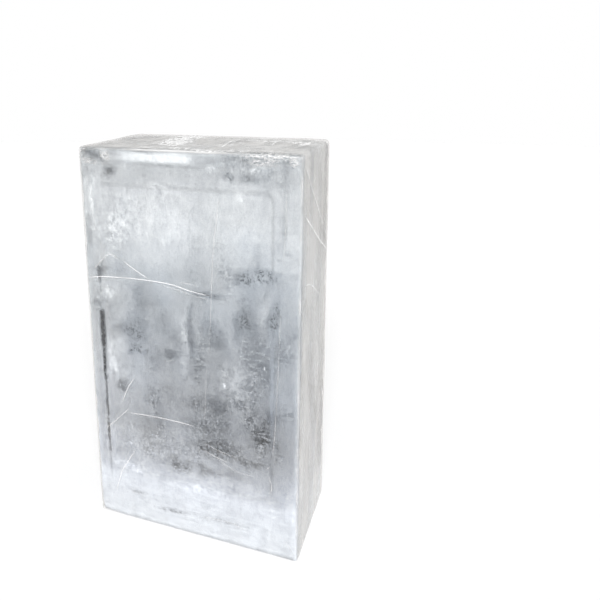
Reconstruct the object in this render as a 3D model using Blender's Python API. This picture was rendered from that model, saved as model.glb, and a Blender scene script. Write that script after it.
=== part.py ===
"""A block of clear ice, standing on its end in a close plastic film.

Metres, +Z up. The origin is the middle of the foot, +X runs along the block's width and
the broad front, on which the ice grew, faces -Y. The ice is one solid that rests on its
flat foot. The film is a thin hood round its sides and top, open at the foot.
"""
import math

import bmesh
import bpy
from mathutils import Vector, noise

# The block's box: the width and depth of the foot, and the height of the top's back left corner
WIDTH = 0.508
DEPTH = 0.269
HEIGHT = 0.9095

# How far the block is from that box, as the freezing can's taper and the saw left it
LEAN_LEFT = 0.016
LEAN_RIGHT_AT_FRONT = 0.014
LEAN_RIGHT_AT_BACK = 0.018
FRONT_WINDS_BACK = 0.014
TOP_FALLS_TO_FRONT = 0.012
TOP_FALLS_TO_RIGHT = 0.003

# The edges: their usual radius, the foot's, and the corners that have melted rounder
EDGE_RADIUS = 0.007
FOOT_RADIUS = 0.005
FOOT_REACH = 0.048
MELT_REACH = 0.070
MELTED_CORNERS = (
    # left -1 or right 1, front -1 or back 1, foot 0 or top 1, extra radius
    (-1, -1, 0, 0.006),
    (1, 1, 1, 0.006),
    (1, 1, 0, 0.004),
    (-1, 1, 1, 0.003),
)

# The dished growth face: a flat-bottomed recess inside a rim
DISH_LEFT = -0.216
DISH_RIGHT = 0.199
DISH_FOOT = 0.140
DISH_TOP = 0.840
DISH_CORNER = 0.024
DISH_DEPTH = 0.006
DISH_WALL = 0.012

# The surface's unevenness, always inward from the box: slow swells, and lumps along the edges
SWELL_DEPTH = 0.0016
SWELLS_PER_METRE = 5.0
LUMP_DEPTH = 0.0040
LUMPS_PER_METRE = 28.0
LUMP_REACH = 0.030
FLAT_ABOVE_FOOT = 0.012

# A place this near to a face of the box is on that face
ON_FACE = 0.000001

# The film: its gap to the ice, its thickness, where its hem hangs, its slack and its crumples
FILM_GAP = 0.0005
FILM_THICKNESS = 0.0004
FILM_HEM = 0.0025
FILM_FOLLOWS_MELT = 0.6
SLACK_DEPTH = 0.0010
SLACKS_PER_METRE = 7.0
CRUMPLE_HEIGHT = 0.0016
CRUMPLES_PER_METRE = 18.0

# The grid: steps round half an edge, and the target size of the cells between the edges
EDGE_STEPS = 2
ICE_CELL = 0.040
FILM_CELL = 0.075
CORNER_STEPS = 3

ICE_COLOUR = (0.86, 0.90, 0.94, 1.0)
ICE_IOR = 1.31
ICE_ROUGHNESS = 0.12
FILM_COLOUR = (0.90, 0.91, 0.92, 1.0)
FILM_ALPHA = 0.25
FILM_ROUGHNESS = 0.18


def clear_scene():
    for thing in list(bpy.data.objects):
        bpy.data.objects.remove(thing, do_unlink=True)


def smooth(low, high, value):
    """0 below low, 1 above high, and an S-curve between them."""
    part = min(max((value - low) / (high - low), 0.0), 1.0)
    return part * part * (3.0 - 2.0 * part)


def mix(first, second, part):
    return first + (second - first) * part


def out_of_square(point):
    """Moves a point of the true box to where the leaning, winding block has it."""
    across = point.x / (WIDTH / 2)
    back = 0.5 + point.y / DEPTH
    up = point.z / HEIGHT
    lean = mix(LEAN_RIGHT_AT_FRONT, LEAN_RIGHT_AT_BACK, back) if across > 0.0 else LEAN_LEFT
    front = -DEPTH / 2 + FRONT_WINDS_BACK * mix((1.0 - across) / 2, 0.5, up)
    top = HEIGHT - TOP_FALLS_TO_FRONT * (1.0 - back) - TOP_FALLS_TO_RIGHT * (1.0 + across) / 2
    return Vector((across * (WIDTH / 2 - lean * up), mix(front, DEPTH / 2, back), up * top))


def edge_radius(point, follow):
    """The radius of the edge nearest to a point of the box, with a share of the corners' melt."""
    extra = 0.0
    for side, face, top, radius in MELTED_CORNERS:
        corner = Vector((side * WIDTH / 2, face * DEPTH / 2, top * HEIGHT))
        extra += radius * (1.0 - smooth(0.0, MELT_REACH, (point - corner).length))
    return mix(FOOT_RADIUS, EDGE_RADIUS, smooth(0.0, FOOT_REACH, point.z)) + follow * extra


def rounded(point, radius, lowest):
    """A box point with its edges rounded above the lowest core height, and the way out there."""
    core = Vector((
        min(max(point.x, radius - WIDTH / 2), WIDTH / 2 - radius),
        min(max(point.y, radius - DEPTH / 2), DEPTH / 2 - radius),
        min(max(point.z, lowest), HEIGHT - radius),
    ))
    outward = (point - core).normalized()
    return core + outward * radius, outward


def dish(point):
    """How deep the dished front is below its rim, at a point of the front."""
    middle = Vector(((DISH_LEFT + DISH_RIGHT) / 2, 0.0, (DISH_FOOT + DISH_TOP) / 2))
    beyond_x = abs(point.x - middle.x) - (DISH_RIGHT - DISH_LEFT) / 2 + DISH_CORNER
    beyond_z = abs(point.z - middle.z) - (DISH_TOP - DISH_FOOT) / 2 + DISH_CORNER
    round_part = math.hypot(max(beyond_x, 0.0), max(beyond_z, 0.0))
    inside = DISH_CORNER - round_part - min(max(beyond_x, beyond_z), 0.0)
    return DISH_DEPTH * smooth(0.0, DISH_WALL, inside)


def near_edge(point):
    """1 on an edge of the box, falling to 0 a lump's reach away from it."""
    to_faces = sorted((
        WIDTH / 2 - abs(point.x),
        DEPTH / 2 - abs(point.y),
        min(point.z, HEIGHT - point.z),
    ))
    return 1.0 - smooth(0.0, LUMP_REACH, to_faces[1])


def ice_loss(point):
    """How far the ice's surface lies inside the box at a point, from melting and growth."""
    swell = SWELL_DEPTH * (0.5 + 0.5 * noise.noise(point * SWELLS_PER_METRE))
    lump = LUMP_DEPTH * near_edge(point) * max(noise.noise(point * LUMPS_PER_METRE), 0.0)
    loss = (swell + lump) * smooth(0.0, FLAT_ABOVE_FOOT, point.z)
    if point.y < ON_FACE - DEPTH / 2:
        loss += dish(point)
    return loss


def ice_point(point):
    radius = edge_radius(point, 1.0)
    surface, outward = rounded(point, radius, radius)
    return out_of_square(surface - outward * ice_loss(point))


def film_point(point):
    """The film's outer surface: straight down its sides to the hem, and crumpled on its top."""
    radius = edge_radius(point, FILM_FOLLOWS_MELT)
    surface, outward = rounded(point, radius, 0.0)
    slack = SLACK_DEPTH * (0.5 + 0.5 * noise.noise(point * SLACKS_PER_METRE))
    crumple = CRUMPLE_HEIGHT * (0.5 + 0.5 * noise.noise(point * CRUMPLES_PER_METRE))
    on_top = smooth(HEIGHT - EDGE_RADIUS * 2, HEIGHT, point.z)
    proud = FILM_GAP + FILM_THICKNESS + slack + crumple * on_top
    return out_of_square(surface + outward * proud)


def evenly(low, high, cell):
    """Lines from low up to, but not on, high, no further apart than a cell."""
    count = max(math.ceil((high - low) / cell - 1e-6), 1)
    return [mix(low, high, step / count) for step in range(count)]


def edge_lines(radius):
    """Distances from a box's face at which lines divide half of its rounded edge evenly."""
    turns = [math.pi / 4 * step / EDGE_STEPS for step in range(EDGE_STEPS + 1)]
    return [radius - radius * math.tan(turn) for turn in reversed(turns)]


def lines(low, high, cell, stops=()):
    """Grid lines from low to high: fine round both edges, and at each stop between."""
    near = [low + distance for distance in edge_lines(EDGE_RADIUS)]
    far = [high - distance for distance in reversed(edge_lines(EDGE_RADIUS))]
    marks = [near[-1], *stops, far[0]]
    between = []
    for start, end in zip(marks, marks[1:]):
        between += evenly(start, end, cell)
    return near[:-1] + between + far


def dish_stops(low, high):
    """Lines through the dish's walls and the rounding of its corners, along one axis."""
    steps = [0.0, DISH_WALL / 2]
    steps += [mix(DISH_WALL, DISH_CORNER + DISH_WALL, step / CORNER_STEPS) for step in range(CORNER_STEPS)]
    return [low + step for step in steps] + [high - step for step in reversed(steps)]


def melt_stops(low, high):
    """Lines through the rounder melting at both ends of an axis."""
    reach = min(MELT_REACH, (high - low) / 2 - MELT_REACH / 4)
    return [low + reach / 2, low + reach, high - reach, high - reach / 2]


def box_skin(name, grid, place, foot):
    """A mesh over the box's surface, with a vertex at each crossing of the grid's lines."""
    shape = bmesh.new()
    made = {}

    def vertex(index):
        if index not in made:
            crossing = Vector([axis[step] for axis, step in zip(grid, index)])
            made[index] = shape.verts.new(place(crossing))
        return made[index]

    last = [len(axis) - 1 for axis in grid]
    for flat, first, second in ((0, 1, 2), (1, 2, 0), (2, 0, 1)):
        for end in (0, last[flat]):
            if flat == 2 and end == 0 and not foot:
                continue
            for one in range(last[first]):
                for two in range(last[second]):
                    corners = []
                    for step_one, step_two in ((0, 0), (1, 0), (1, 1), (0, 1)):
                        index = [end, end, end]
                        index[first] = one + step_one
                        index[second] = two + step_two
                        corners.append(vertex(tuple(index)))
                    shape.faces.new(corners if end else reversed(corners))
    mesh = bpy.data.meshes.new(name)
    shape.to_mesh(mesh)
    shape.free()
    mesh.shade_smooth()
    mesh.set_sharp_from_angle(angle=math.radians(40))
    return mesh


def add_object(name, mesh, material):
    thing = bpy.data.objects.new(name, mesh)
    mesh.materials.append(material)
    bpy.context.scene.collection.objects.link(thing)
    return thing


def ice_material():
    material = bpy.data.materials.new("ice")
    material.use_nodes = True
    shader = material.node_tree.nodes["Principled BSDF"]
    shader.inputs["Base Color"].default_value = ICE_COLOUR
    shader.inputs["Roughness"].default_value = ICE_ROUGHNESS
    shader.inputs["Metallic"].default_value = 0.0
    shader.inputs["IOR"].default_value = ICE_IOR
    shader.inputs["Transmission Weight"].default_value = 1.0
    return material


def film_material():
    material = bpy.data.materials.new("film")
    material.use_nodes = True
    shader = material.node_tree.nodes["Principled BSDF"]
    shader.inputs["Base Color"].default_value = FILM_COLOUR
    shader.inputs["Roughness"].default_value = FILM_ROUGHNESS
    shader.inputs["Metallic"].default_value = 0.0
    shader.inputs["Alpha"].default_value = FILM_ALPHA
    return material


def make_ice_block():
    grid = (
        lines(-WIDTH / 2, WIDTH / 2, ICE_CELL, dish_stops(DISH_LEFT, DISH_RIGHT)),
        lines(-DEPTH / 2, DEPTH / 2, ICE_CELL),
        lines(0.0, HEIGHT, ICE_CELL, dish_stops(DISH_FOOT, DISH_TOP)),
    )
    add_object("ice_block", box_skin("ice_block", grid, ice_point, foot=True), ice_material())


def make_film():
    grid = (
        lines(-WIDTH / 2, WIDTH / 2, FILM_CELL, melt_stops(-WIDTH / 2, WIDTH / 2)),
        lines(-DEPTH / 2, DEPTH / 2, FILM_CELL, melt_stops(-DEPTH / 2, DEPTH / 2)),
        [FILM_HEM] + lines(0.0, HEIGHT, FILM_CELL, melt_stops(0.0, HEIGHT))[2 * EDGE_STEPS:],
    )
    film = add_object("film_wrap", box_skin("film_wrap", grid, film_point, foot=False), film_material())
    wall = film.modifiers.new("film thickness", "SOLIDIFY")
    wall.thickness = FILM_THICKNESS
    wall.offset = -1.0
    wall.use_even_offset = True


def main():
    clear_scene()
    make_ice_block()
    make_film()


main()
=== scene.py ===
"""The looks of the ice block: its frosted, see-through ice and its creased plastic film.

Metres, +Z up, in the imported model's frame: the origin is the middle of the foot, and the broad
dished front faces -Y. The ice and the film are made again, finely, from the same shape as their
solids, with the same named sizes, and each stands in for its own node.
"""
import math

import bmesh
import bpy
import numpy as np
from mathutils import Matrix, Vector, geometry, noise


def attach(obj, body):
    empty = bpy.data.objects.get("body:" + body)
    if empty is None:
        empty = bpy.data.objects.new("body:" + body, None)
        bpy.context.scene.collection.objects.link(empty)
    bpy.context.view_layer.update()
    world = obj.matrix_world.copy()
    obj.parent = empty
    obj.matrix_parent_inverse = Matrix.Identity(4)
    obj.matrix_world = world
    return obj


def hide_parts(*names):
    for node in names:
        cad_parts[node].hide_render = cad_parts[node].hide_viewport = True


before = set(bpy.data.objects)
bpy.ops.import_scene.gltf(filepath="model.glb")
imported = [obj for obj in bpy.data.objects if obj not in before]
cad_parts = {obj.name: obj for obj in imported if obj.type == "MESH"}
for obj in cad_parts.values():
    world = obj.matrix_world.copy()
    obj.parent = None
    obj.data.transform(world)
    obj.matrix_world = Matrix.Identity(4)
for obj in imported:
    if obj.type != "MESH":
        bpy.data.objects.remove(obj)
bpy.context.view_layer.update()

NOISE_SEED = 2
noise.seed_set(NOISE_SEED)     # the warps of the marks and crinkles come out the same in every run

# ---------------------------------------------------------------- the block's shape, as in its solids

WIDTH = 0.508
DEPTH = 0.269
HEIGHT = 0.9095

LEAN_LEFT = 0.016
LEAN_RIGHT_AT_FRONT = 0.014
LEAN_RIGHT_AT_BACK = 0.018
FRONT_WINDS_BACK = 0.014
TOP_FALLS_TO_FRONT = 0.012
TOP_FALLS_TO_RIGHT = 0.003

EDGE_RADIUS = 0.007
FOOT_RADIUS = 0.005
FOOT_REACH = 0.048
MELT_REACH = 0.070
MELTED_CORNERS = (
    # left -1 or right 1, front -1 or back 1, foot 0 or top 1, extra radius
    (-1, -1, 0, 0.006),
    (1, 1, 1, 0.006),
    (1, 1, 0, 0.004),
    (-1, 1, 1, 0.003),
)

DISH_LEFT = -0.216
DISH_RIGHT = 0.199
DISH_FOOT = 0.140
DISH_TOP = 0.840
DISH_CORNER = 0.024
DISH_DEPTH = 0.006
DISH_WALL = 0.012

SWELL_DEPTH = 0.0016
SWELLS_PER_METRE = 5.0
LUMP_DEPTH = 0.0040
LUMPS_PER_METRE = 28.0
LUMP_REACH = 0.030
FLAT_ABOVE_FOOT = 0.012

ON_FACE = 0.000001

FILM_GAP = 0.0005
FILM_THICKNESS = 0.0004
FILM_HEM = 0.0025
FILM_FOLLOWS_MELT = 0.6
SLACK_DEPTH = 0.0010
SLACKS_PER_METRE = 7.0
CRUMPLE_HEIGHT = 0.0016
CRUMPLES_PER_METRE = 18.0

# ---------------------------------------------------------------- how finely it is meshed here

EDGE_STEPS = 4
ICE_CELL_ACROSS = 0.0036
ICE_CELL_BACK = 0.0090
ICE_CELL_UP = 0.0048
FILM_CELL = 0.0110
FILM_TOP_CELL = 0.0045
CREASE_STEP = 0.0045
CREASE_CLEARANCE = 0.0015
CREASE_ROWS = (-1.0, -0.5, 0.0, 0.5, 1.0)
SAME_PLACE = 0.000001
WELD_DISTANCE = 0.00001
FAR_AWAY = 1.0

# ---------------------------------------------------------------- how white the ice's surface is
# 1 is all frost, 0 is clear, and below 0 the clear ice is darkened with painted shade. Places are
# metres across and up on the front and the back, back and up on the sides, and across and back on the
# top.

WHITE_UP_THE_FRONT = (
    (0.000, 0.74),
    (0.060, 0.72),
    (0.115, 0.74),
    (0.150, 0.555),
    (0.190, 0.435),
    (0.230, 0.39),
    (0.300, 0.27),
    (0.370, 0.26),
    (0.560, 0.20),
    (0.640, 0.24),
    (0.700, 0.40),
    (0.750, 0.52),
    (0.830, 0.56),
    (0.860, 0.46),
    (0.910, 0.40),
)
WHITE_UP_A_SIDE = ((0.0, 0.70), (0.15, 0.62), (0.40, 0.46), (0.60, 0.32), (0.91, 0.22))
FRONT_WAVER = 0.006
FRONT_WAVERS_PER_METRE = 25.0
FRONT_AREAS = (
    # change of whiteness, and the place that each soft edge starts at and is done by: its left,
    # right, foot and top, with None where it has no such edge
    (0.14, (None, (-0.11, -0.19), (0.16, 0.22), (0.74, 0.62))),
    (0.10, (None, (-0.238, -0.249), (0.12, 0.20), None)),
    (-0.05, ((0.10, 0.15), None, (0.16, 0.22), (0.74, 0.62))),
    (0.38, ((-0.170, -0.120), (0.030, 0.000), (0.881, 0.888), (0.907, 0.899))),
    (0.05, ((0.205, 0.222), None, (0.10, 0.18), (0.42, 0.28))),
)
GLOW_MIDDLE = (-0.075, 0.735)
GLOW_REACH = (0.15, 0.10)
GLOW_CORE = 0.2
GLOW_WHITE = 0.08
BRUSHED_AREAS = (
    (None, None, None, (0.150, 0.110)),
    (None, (0.09, 0.05), (0.876, 0.884), None),
)

BACK_SHARE_OF_FRONT = 0.8
BACK_WHITER = 0.14
BACK_CLOUD = 0.20
BACK_CLOUDS_PER_METRE = (7.0, 0.0, 4.0)
BACK_CLOUD_SHIFT = 3.0
# Painted shade: the sides' back part is made less white, down below 0 where the clear ice is
# darkened.
SIDE_AREAS = ((-0.45, ((0.03, 0.11), None, (0.05, 0.20), None)),)
SIDE_STREAK = 0.10
SIDE_STREAKS_PER_METRE = (3.0, 30.0, 2.0)
WHITE_ON_TOP = 0.31
# Painted shade: the top's back left is made less white, down below 0 where the clear ice is darkened;
# the other area adds frost.
TOP_AREAS = (
    (-0.35, (None, (0.10, 0.00), (-0.03, 0.08), None)),
    (0.20, ((-0.10, -0.02), None, None, (0.04, -0.04))),
)
TOP_UNEVEN = 0.30
TOP_UNEVENS_PER_METRE = (22.0, 14.0, 0.0)
WHITE_ON_FOOT = 0.05
WHITE_ON_EDGES = 0.08
EDGE_WHITE_POWER = 3
EDGE_BLEND = 0.012

# Light and dark patches of the sides and the back; the dark ones clear the frost and then paint shade
# into the clear ice.
PATCHES_PER_METRE = (9.0, 11.0, 6.0)
PATCH_LACUNARITY = 2.2
PATCH_OCTAVES = 5
LIGHT_PATCH = 0.18
LIGHT_PATCH_ROUGHNESS = 0.7
LIGHT_PATCH_FROM = 0.05
LIGHT_PATCH_TO = 0.55
DARK_PATCH = -0.08
DARK_PATCH_IN_MIDDLE = -0.26
DARK_PATCH_MIDDLE = (None, None, (0.12, 0.30), (0.80, 0.66))
DARK_PATCH_SCALE = 1.2
DARK_PATCH_SHIFT = Vector((4.0, 7.0, 2.0))
DARK_PATCH_ROUGHNESS = 0.6
DARK_PATCH_FROM = 0.05
DARK_PATCH_TO = 0.60

MARK_CORE = 0.10
MARK_END = 1.50
MARK_SEARCH = 1.6
MARK_SEARCH_MARGIN = 0.02
MARK_WARP = 0.017
WARPS_PER_METRE = 22.0
SMALL_WARP = 0.006
SMALL_WARPS_PER_METRE = 75.0
WARP_OF_SMALL_MARKS = 0.8
# Marks of the front: the light ones add frost, and the dark ones clear it and then paint shade into
# the clear ice.
FRONT_MARKS_AND_PAINTED_SHADE = (
    # across, up, half width, half height, tilt in degrees, change of whiteness
    (-0.183, 0.864, 0.018, 0.016, 20, -0.32),
    (-0.222, 0.893, 0.034, 0.015, 0, -0.34),
    (-0.060, 0.894, 0.085, 0.008, 0, 0.12),
    (-0.020, 0.880, 0.190, 0.004, 0, -0.16),
    (0.150, 0.897, 0.100, 0.010, 0, -0.16),
    (0.095, 0.866, 0.016, 0.009, 0, -0.26),
    (0.140, 0.860, 0.036, 0.010, 0, -0.22),
    (0.165, 0.880, 0.030, 0.006, 0, 0.34),
    (0.061, 0.877, 0.012, 0.007, 0, 0.30),
    (-0.226, 0.790, 0.007, 0.080, 0, 0.17),
    (-0.243, 0.725, 0.012, 0.085, 0, -0.15),
    (-0.208, 0.852, 0.012, 0.024, 0, 0.14),
    (-0.186, 0.726, 0.034, 0.046, 0, 0.13),
    (-0.130, 0.800, 0.080, 0.028, 0, 0.08),
    (0.158, 0.705, 0.040, 0.058, 0, -0.12),
    (0.180, 0.645, 0.048, 0.018, 0, -0.10),
    (-0.060, 0.828, 0.022, 0.012, 0, 0.24),
    (-0.164, 0.742, 0.030, 0.030, 30, 0.14),
    (-0.052, 0.727, 0.016, 0.014, 0, 0.14),
    (0.123, 0.827, 0.010, 0.018, 0, 0.18),
    (0.234, 0.715, 0.013, 0.060, 0, 0.09),
    (0.222, 0.860, 0.010, 0.045, 0, -0.14),
    (0.216, 0.770, 0.008, 0.060, 0, -0.13),
    (0.149, 0.573, 0.022, 0.100, 0, -0.16),
    (0.172, 0.585, 0.009, 0.040, -6, 0.16),
    (0.196, 0.585, 0.014, 0.050, -16, -0.42),
    (0.122, 0.652, 0.024, 0.020, 0, -0.48),
    (0.172, 0.668, 0.034, 0.018, 0, -0.48),
    (0.043, 0.610, 0.040, 0.008, 0, -0.44),
    (-0.191, 0.646, 0.044, 0.018, 0, -0.20),
    (-0.219, 0.640, 0.008, 0.022, 0, -0.16),
    (-0.186, 0.560, 0.016, 0.014, 0, -0.07),
    (-0.194, 0.592, 0.022, 0.016, 0, 0.22),
    (-0.123, 0.573, 0.020, 0.064, 0, -0.18),
    (-0.076, 0.590, 0.028, 0.050, 0, -0.14),
    (-0.184, 0.482, 0.024, 0.026, 0, 0.22),
    (-0.198, 0.420, 0.018, 0.040, 0, 0.30),
    (-0.146, 0.505, 0.046, 0.038, 0, -0.46),
    (-0.175, 0.365, 0.018, 0.014, 0, -0.36),
    (-0.138, 0.461, 0.030, 0.011, 0, -0.44),
    (-0.011, 0.486, 0.010, 0.090, 0, 0.25),
    (0.006, 0.520, 0.008, 0.064, 0, -0.30),
    (-0.045, 0.455, 0.026, 0.022, 0, -0.26),
    (0.060, 0.530, 0.020, 0.034, 30, -0.30),
    (0.131, 0.563, 0.024, 0.018, 20, -0.32),
    (0.116, 0.540, 0.012, 0.026, -20, -0.26),
    (-0.150, 0.262, 0.055, 0.030, 0, -0.12),
    (-0.180, 0.215, 0.032, 0.036, 0, -0.12),
    (0.040, 0.300, 0.060, 0.022, 0, -0.18),
    (0.165, 0.295, 0.030, 0.020, 0, -0.14),
    (-0.100, 0.440, 0.070, 0.026, 0, -0.08),
    (0.035, 0.345, 0.040, 0.026, 0, -0.16),
    (0.190, 0.440, 0.024, 0.045, 0, -0.14),
    (-0.060, 0.520, 0.030, 0.030, 0, -0.12),
    (0.105, 0.429, 0.038, 0.032, 0, 0.15),
    (-0.070, 0.355, 0.100, 0.030, 0, -0.03),
    (0.070, 0.345, 0.024, 0.040, 0, -0.10),
    (0.066, 0.244, 0.064, 0.034, -6, -0.26),
    (0.194, 0.354, 0.020, 0.030, 0, -0.14),
    (-0.160, 0.240, 0.040, 0.036, 0, 0.03),
    (-0.034, 0.184, 0.030, 0.024, 0, -0.30),
    (0.027, 0.178, 0.020, 0.020, 0, -0.22),
    (0.085, 0.184, 0.060, 0.014, 0, -0.12),
    (0.140, 0.224, 0.034, 0.016, 0, -0.13),
    (-0.165, 0.144, 0.050, 0.010, -8, 0.14),
    (0.000, 0.132, 0.070, 0.011, 0, 0.12),
    (-0.150, 0.076, 0.030, 0.006, 8, -0.24),
    (-0.051, 0.052, 0.044, 0.005, 4, -0.38),
    (0.084, 0.059, 0.068, 0.005, 4, -0.18),
    (0.177, 0.464, 0.003, 0.004, 0, 0.80),
    (0.082, 0.409, 0.003, 0.004, 0, 0.70),
    (-0.163, 0.209, 0.003, 0.004, 0, 0.70),
)
# A painted line of shade by the dish's left wall, darkening the clear ice.
PAINTED_SLIT_SHADE = (
    # from this height up to this one, half its width, and how dark it is
    (0.450, 0.556, 0.0054, 1.7),
    (0.360, 0.490, 0.0044, 0.8),
    (0.165, 0.400, 0.0034, 0.36),
    (0.605, 0.660, 0.0044, 0.36),
    (0.080, 0.180, 0.0030, 0.16),
)
SLIT_ACROSS = -0.2195
SLIT_ENDS = 0.024
SLIT_CORE = 0.4
SLIT_EDGE = 1.3
SLIT_WANDER = 0.0016
SLIT_WANDERS_PER_METRE = 30.0

# ---------------------------------------------------------------- the film's creases
# Each is a soft line through a few places on one face, with its crest's height off the film. The same
# height paints the crest white: partly milkier folded film, partly a painted highlight.

CREASE_HALF_WIDTH = 0.0013
SIDE_CREASE_HALF_WIDTH = 0.0020
TOP_CREASE_HALF_WIDTH = 0.0026
CREASE_HEIGHT = 0.0009
CRINKLE_DEPTH = 0.0006
CRINKLES_PER_METRE = 42.0
CRINKLE_SHARPNESS = 4
CRINKLE_WARPS = ((14.0, 0.024), (50.0, 0.010))
CRINKLED_MOST = 2.4
CRINKLED_TOP = 0.30
CRINKLED_BEHIND_FRONT = 0.010
CREASE_FADE = 0.018
CREASE_MEAN = 0.95
CREASE_UNEVEN = 0.60
UNEVENS_PER_METRE = 26.0
# Crinkly patches of the top's film, whose folds are painted white as glints of crumpled film.
TOP_CRINKLES_AND_PAINTED_GLINTS = (
    # across, back, half width, half depth, tilt in degrees, how crinkly it is and so how much painted
    # glint it has
    (-0.080, 0.030, 0.036, 0.085, 6, 2.40),
    (-0.050, -0.056, 0.070, 0.020, 0, 0.60),
    (0.055, -0.010, 0.020, 0.080, 12, 0.50),
    (0.120, 0.060, 0.070, 0.024, 0, 0.90),
    (0.215, 0.040, 0.034, 0.044, 0, 1.10),
    (0.060, -0.118, 0.190, 0.014, 0, 0.80),
)
# Crinkly patches at the ends of the top's front edge, with painted glints too.
FRONT_CRINKLES_AND_PAINTED_GLINTS = (
    # across, up, half width, half height, tilt in degrees, how crinkly it is and so how much painted
    # glint it has
    (-0.246, 0.900, 0.012, 0.010, 0, 0.55),
    (-0.187, 0.893, 0.007, 0.016, 0, 1.20),
    (0.180, 0.905, 0.060, 0.004, 0, 0.80),
    (0.238, 0.896, 0.014, 0.010, 0, 0.70),
    (0.170, 0.890, 0.034, 0.006, 0, 0.60),
    (-0.225, 0.882, 0.022, 0.006, 0, 0.60),
)
FRONT_CREASES = (
    # how sharp and white it is, its white being milkier folded film and a painted highlight, and its
    # places
    (0.95, (-0.250, 0.622), (-0.215, 0.629), (-0.124, 0.633), (-0.041, 0.630), (0.008, 0.620),
     (0.054, 0.614)),
    (0.45, (-0.070, 0.627), (-0.025, 0.620), (0.020, 0.610), (0.058, 0.606)),
    (0.40, (-0.028, 0.634), (0.000, 0.636), (0.032, 0.631)),
    (0.85, (-0.156, 0.678), (-0.147, 0.666), (-0.116, 0.648), (-0.088, 0.634)),
    (0.72, (-0.238, 0.640), (-0.222, 0.655), (-0.199, 0.677), (-0.185, 0.683), (-0.162, 0.670)),
    (0.80, (-0.161, 0.299), (-0.089, 0.302), (-0.014, 0.300), (0.021, 0.296)),
    (0.75, (-0.233, 0.237), (-0.196, 0.272), (-0.155, 0.314)),
    (0.75, (-0.137, 0.398), (-0.160, 0.362), (-0.179, 0.317)),
    (0.85, (-0.144, 0.205), (-0.174, 0.156), (-0.189, 0.127), (-0.208, 0.067)),
    (0.40, (-0.160, 0.203), (-0.172, 0.176), (-0.180, 0.150)),
    (0.55, (0.025, 0.244), (0.062, 0.230), (0.098, 0.222)),
    (0.45, (0.030, 0.262), (0.075, 0.246), (0.120, 0.240)),
    (0.40, (0.060, 0.228), (0.110, 0.206), (0.160, 0.200)),
    (0.75, (0.195, 0.241), (0.179, 0.221)),
    (0.72, (0.186, 0.215), (0.195, 0.186), (0.192, 0.160)),
    (0.50, (0.226, 0.055), (0.250, 0.016)),
    (0.45, (0.018, 0.060), (0.099, 0.061), (0.150, 0.048)),
    (0.50, (-0.065, 0.442), (-0.026, 0.460)),
    (0.45, (-0.014, 0.516), (0.010, 0.520)),
    (0.35, (0.095, 0.502), (0.125, 0.500)),
    (0.40, (0.079, 0.831), (0.072, 0.774), (0.064, 0.713), (0.057, 0.597), (0.050, 0.470)),
    (0.30, (0.044, 0.455), (0.040, 0.380), (0.036, 0.310)),
    (0.40, (0.212, 0.605), (0.208, 0.470), (0.202, 0.328), (0.196, 0.258)),
    (0.30, (-0.240, 0.600), (-0.238, 0.460), (-0.236, 0.320), (-0.238, 0.200)),
    (0.30, (-0.229, 0.880), (-0.224, 0.800), (-0.222, 0.720)),
    (0.35, (0.222, 0.840), (0.220, 0.760), (0.216, 0.690)),
)
RIGHT_CREASES = (
    (1.05, (-0.120, 0.888), (-0.050, 0.830), (0.030, 0.766), (0.123, 0.692)),
    (1.20, (-0.122, 0.795), (-0.042, 0.750), (0.035, 0.707), (0.124, 0.662)),
    (0.85, (-0.116, 0.648), (-0.070, 0.640), (-0.010, 0.612), (0.061, 0.568)),
    (0.45, (-0.060, 0.330), (-0.034, 0.240), (-0.030, 0.160)),
    (0.40, (0.020, 0.520), (0.040, 0.420), (0.036, 0.330)),
    (0.35, (0.070, 0.880), (0.078, 0.820), (0.074, 0.760)),
)
BACK_CREASES = (
    (0.90, (-0.240, 0.560), (-0.120, 0.590), (0.020, 0.582), (0.150, 0.610)),
    (0.70, (0.120, 0.860), (0.160, 0.760), (0.175, 0.660)),
    (0.60, (-0.180, 0.330), (-0.060, 0.300), (0.040, 0.312)),
    (0.75, (0.060, 0.420), (0.130, 0.380), (0.235, 0.372)),
    (0.50, (-0.160, 0.850), (-0.120, 0.800), (-0.030, 0.780)),
    (0.40, (-0.060, 0.700), (-0.052, 0.560), (-0.056, 0.400)),
)
LEFT_CREASES = (
    (0.90, (-0.120, 0.625), (-0.020, 0.640), (0.060, 0.690), (0.118, 0.770)),
    (0.65, (-0.090, 0.250), (0.000, 0.290), (0.120, 0.300)),
    (0.65, (-0.040, 0.860), (0.010, 0.800), (0.020, 0.720)),
    (0.50, (0.060, 0.500), (0.020, 0.440), (0.014, 0.360)),
)
TOP_CREASES = (
    (1.00, (0.064, -0.080), (0.046, 0.010), (0.041, 0.058)),
    (0.90, (0.155, -0.020), (0.150, 0.050), (0.153, 0.106)),
    (0.90, (-0.060, -0.100), (-0.072, -0.040), (-0.100, 0.010), (-0.078, 0.113)),
    (0.80, (0.215, -0.058), (0.222, 0.000), (0.226, 0.066)),
    (0.80, (-0.130, 0.060), (-0.040, 0.046), (0.030, 0.066)),
    (0.80, (-0.130, -0.050), (-0.020, -0.074), (0.090, -0.060)),
    (0.60, (-0.220, 0.020), (-0.170, -0.010), (-0.130, 0.020)),
)

# How milky the film is along the edges that its folds are gathered on, with painted highlight lines
# along them.
HAZE_AT_TOP = 0.70
HAZE_AT_RIGHT = 0.60
HAZE_AT_LEFT = 0.14
HAZE_REACH = 0.006
HAZE_REACH_SIDEWAYS = 0.008
HAZE_TOP_ENDS = ((-0.18, -0.10), (0.20, 0.04), None, None)
HAZE_RIGHT_FOOT = (0.02, 0.10)
HAZE_LUMPS_PER_METRE = 40.0


def smooth(low, high, value):
    """0 below low, 1 above high, and an S-curve between them."""
    part = min(max((value - low) / (high - low), 0.0), 1.0)
    return part * part * (3.0 - 2.0 * part)


def mix(first, second, part):
    return first + (second - first) * part


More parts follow.
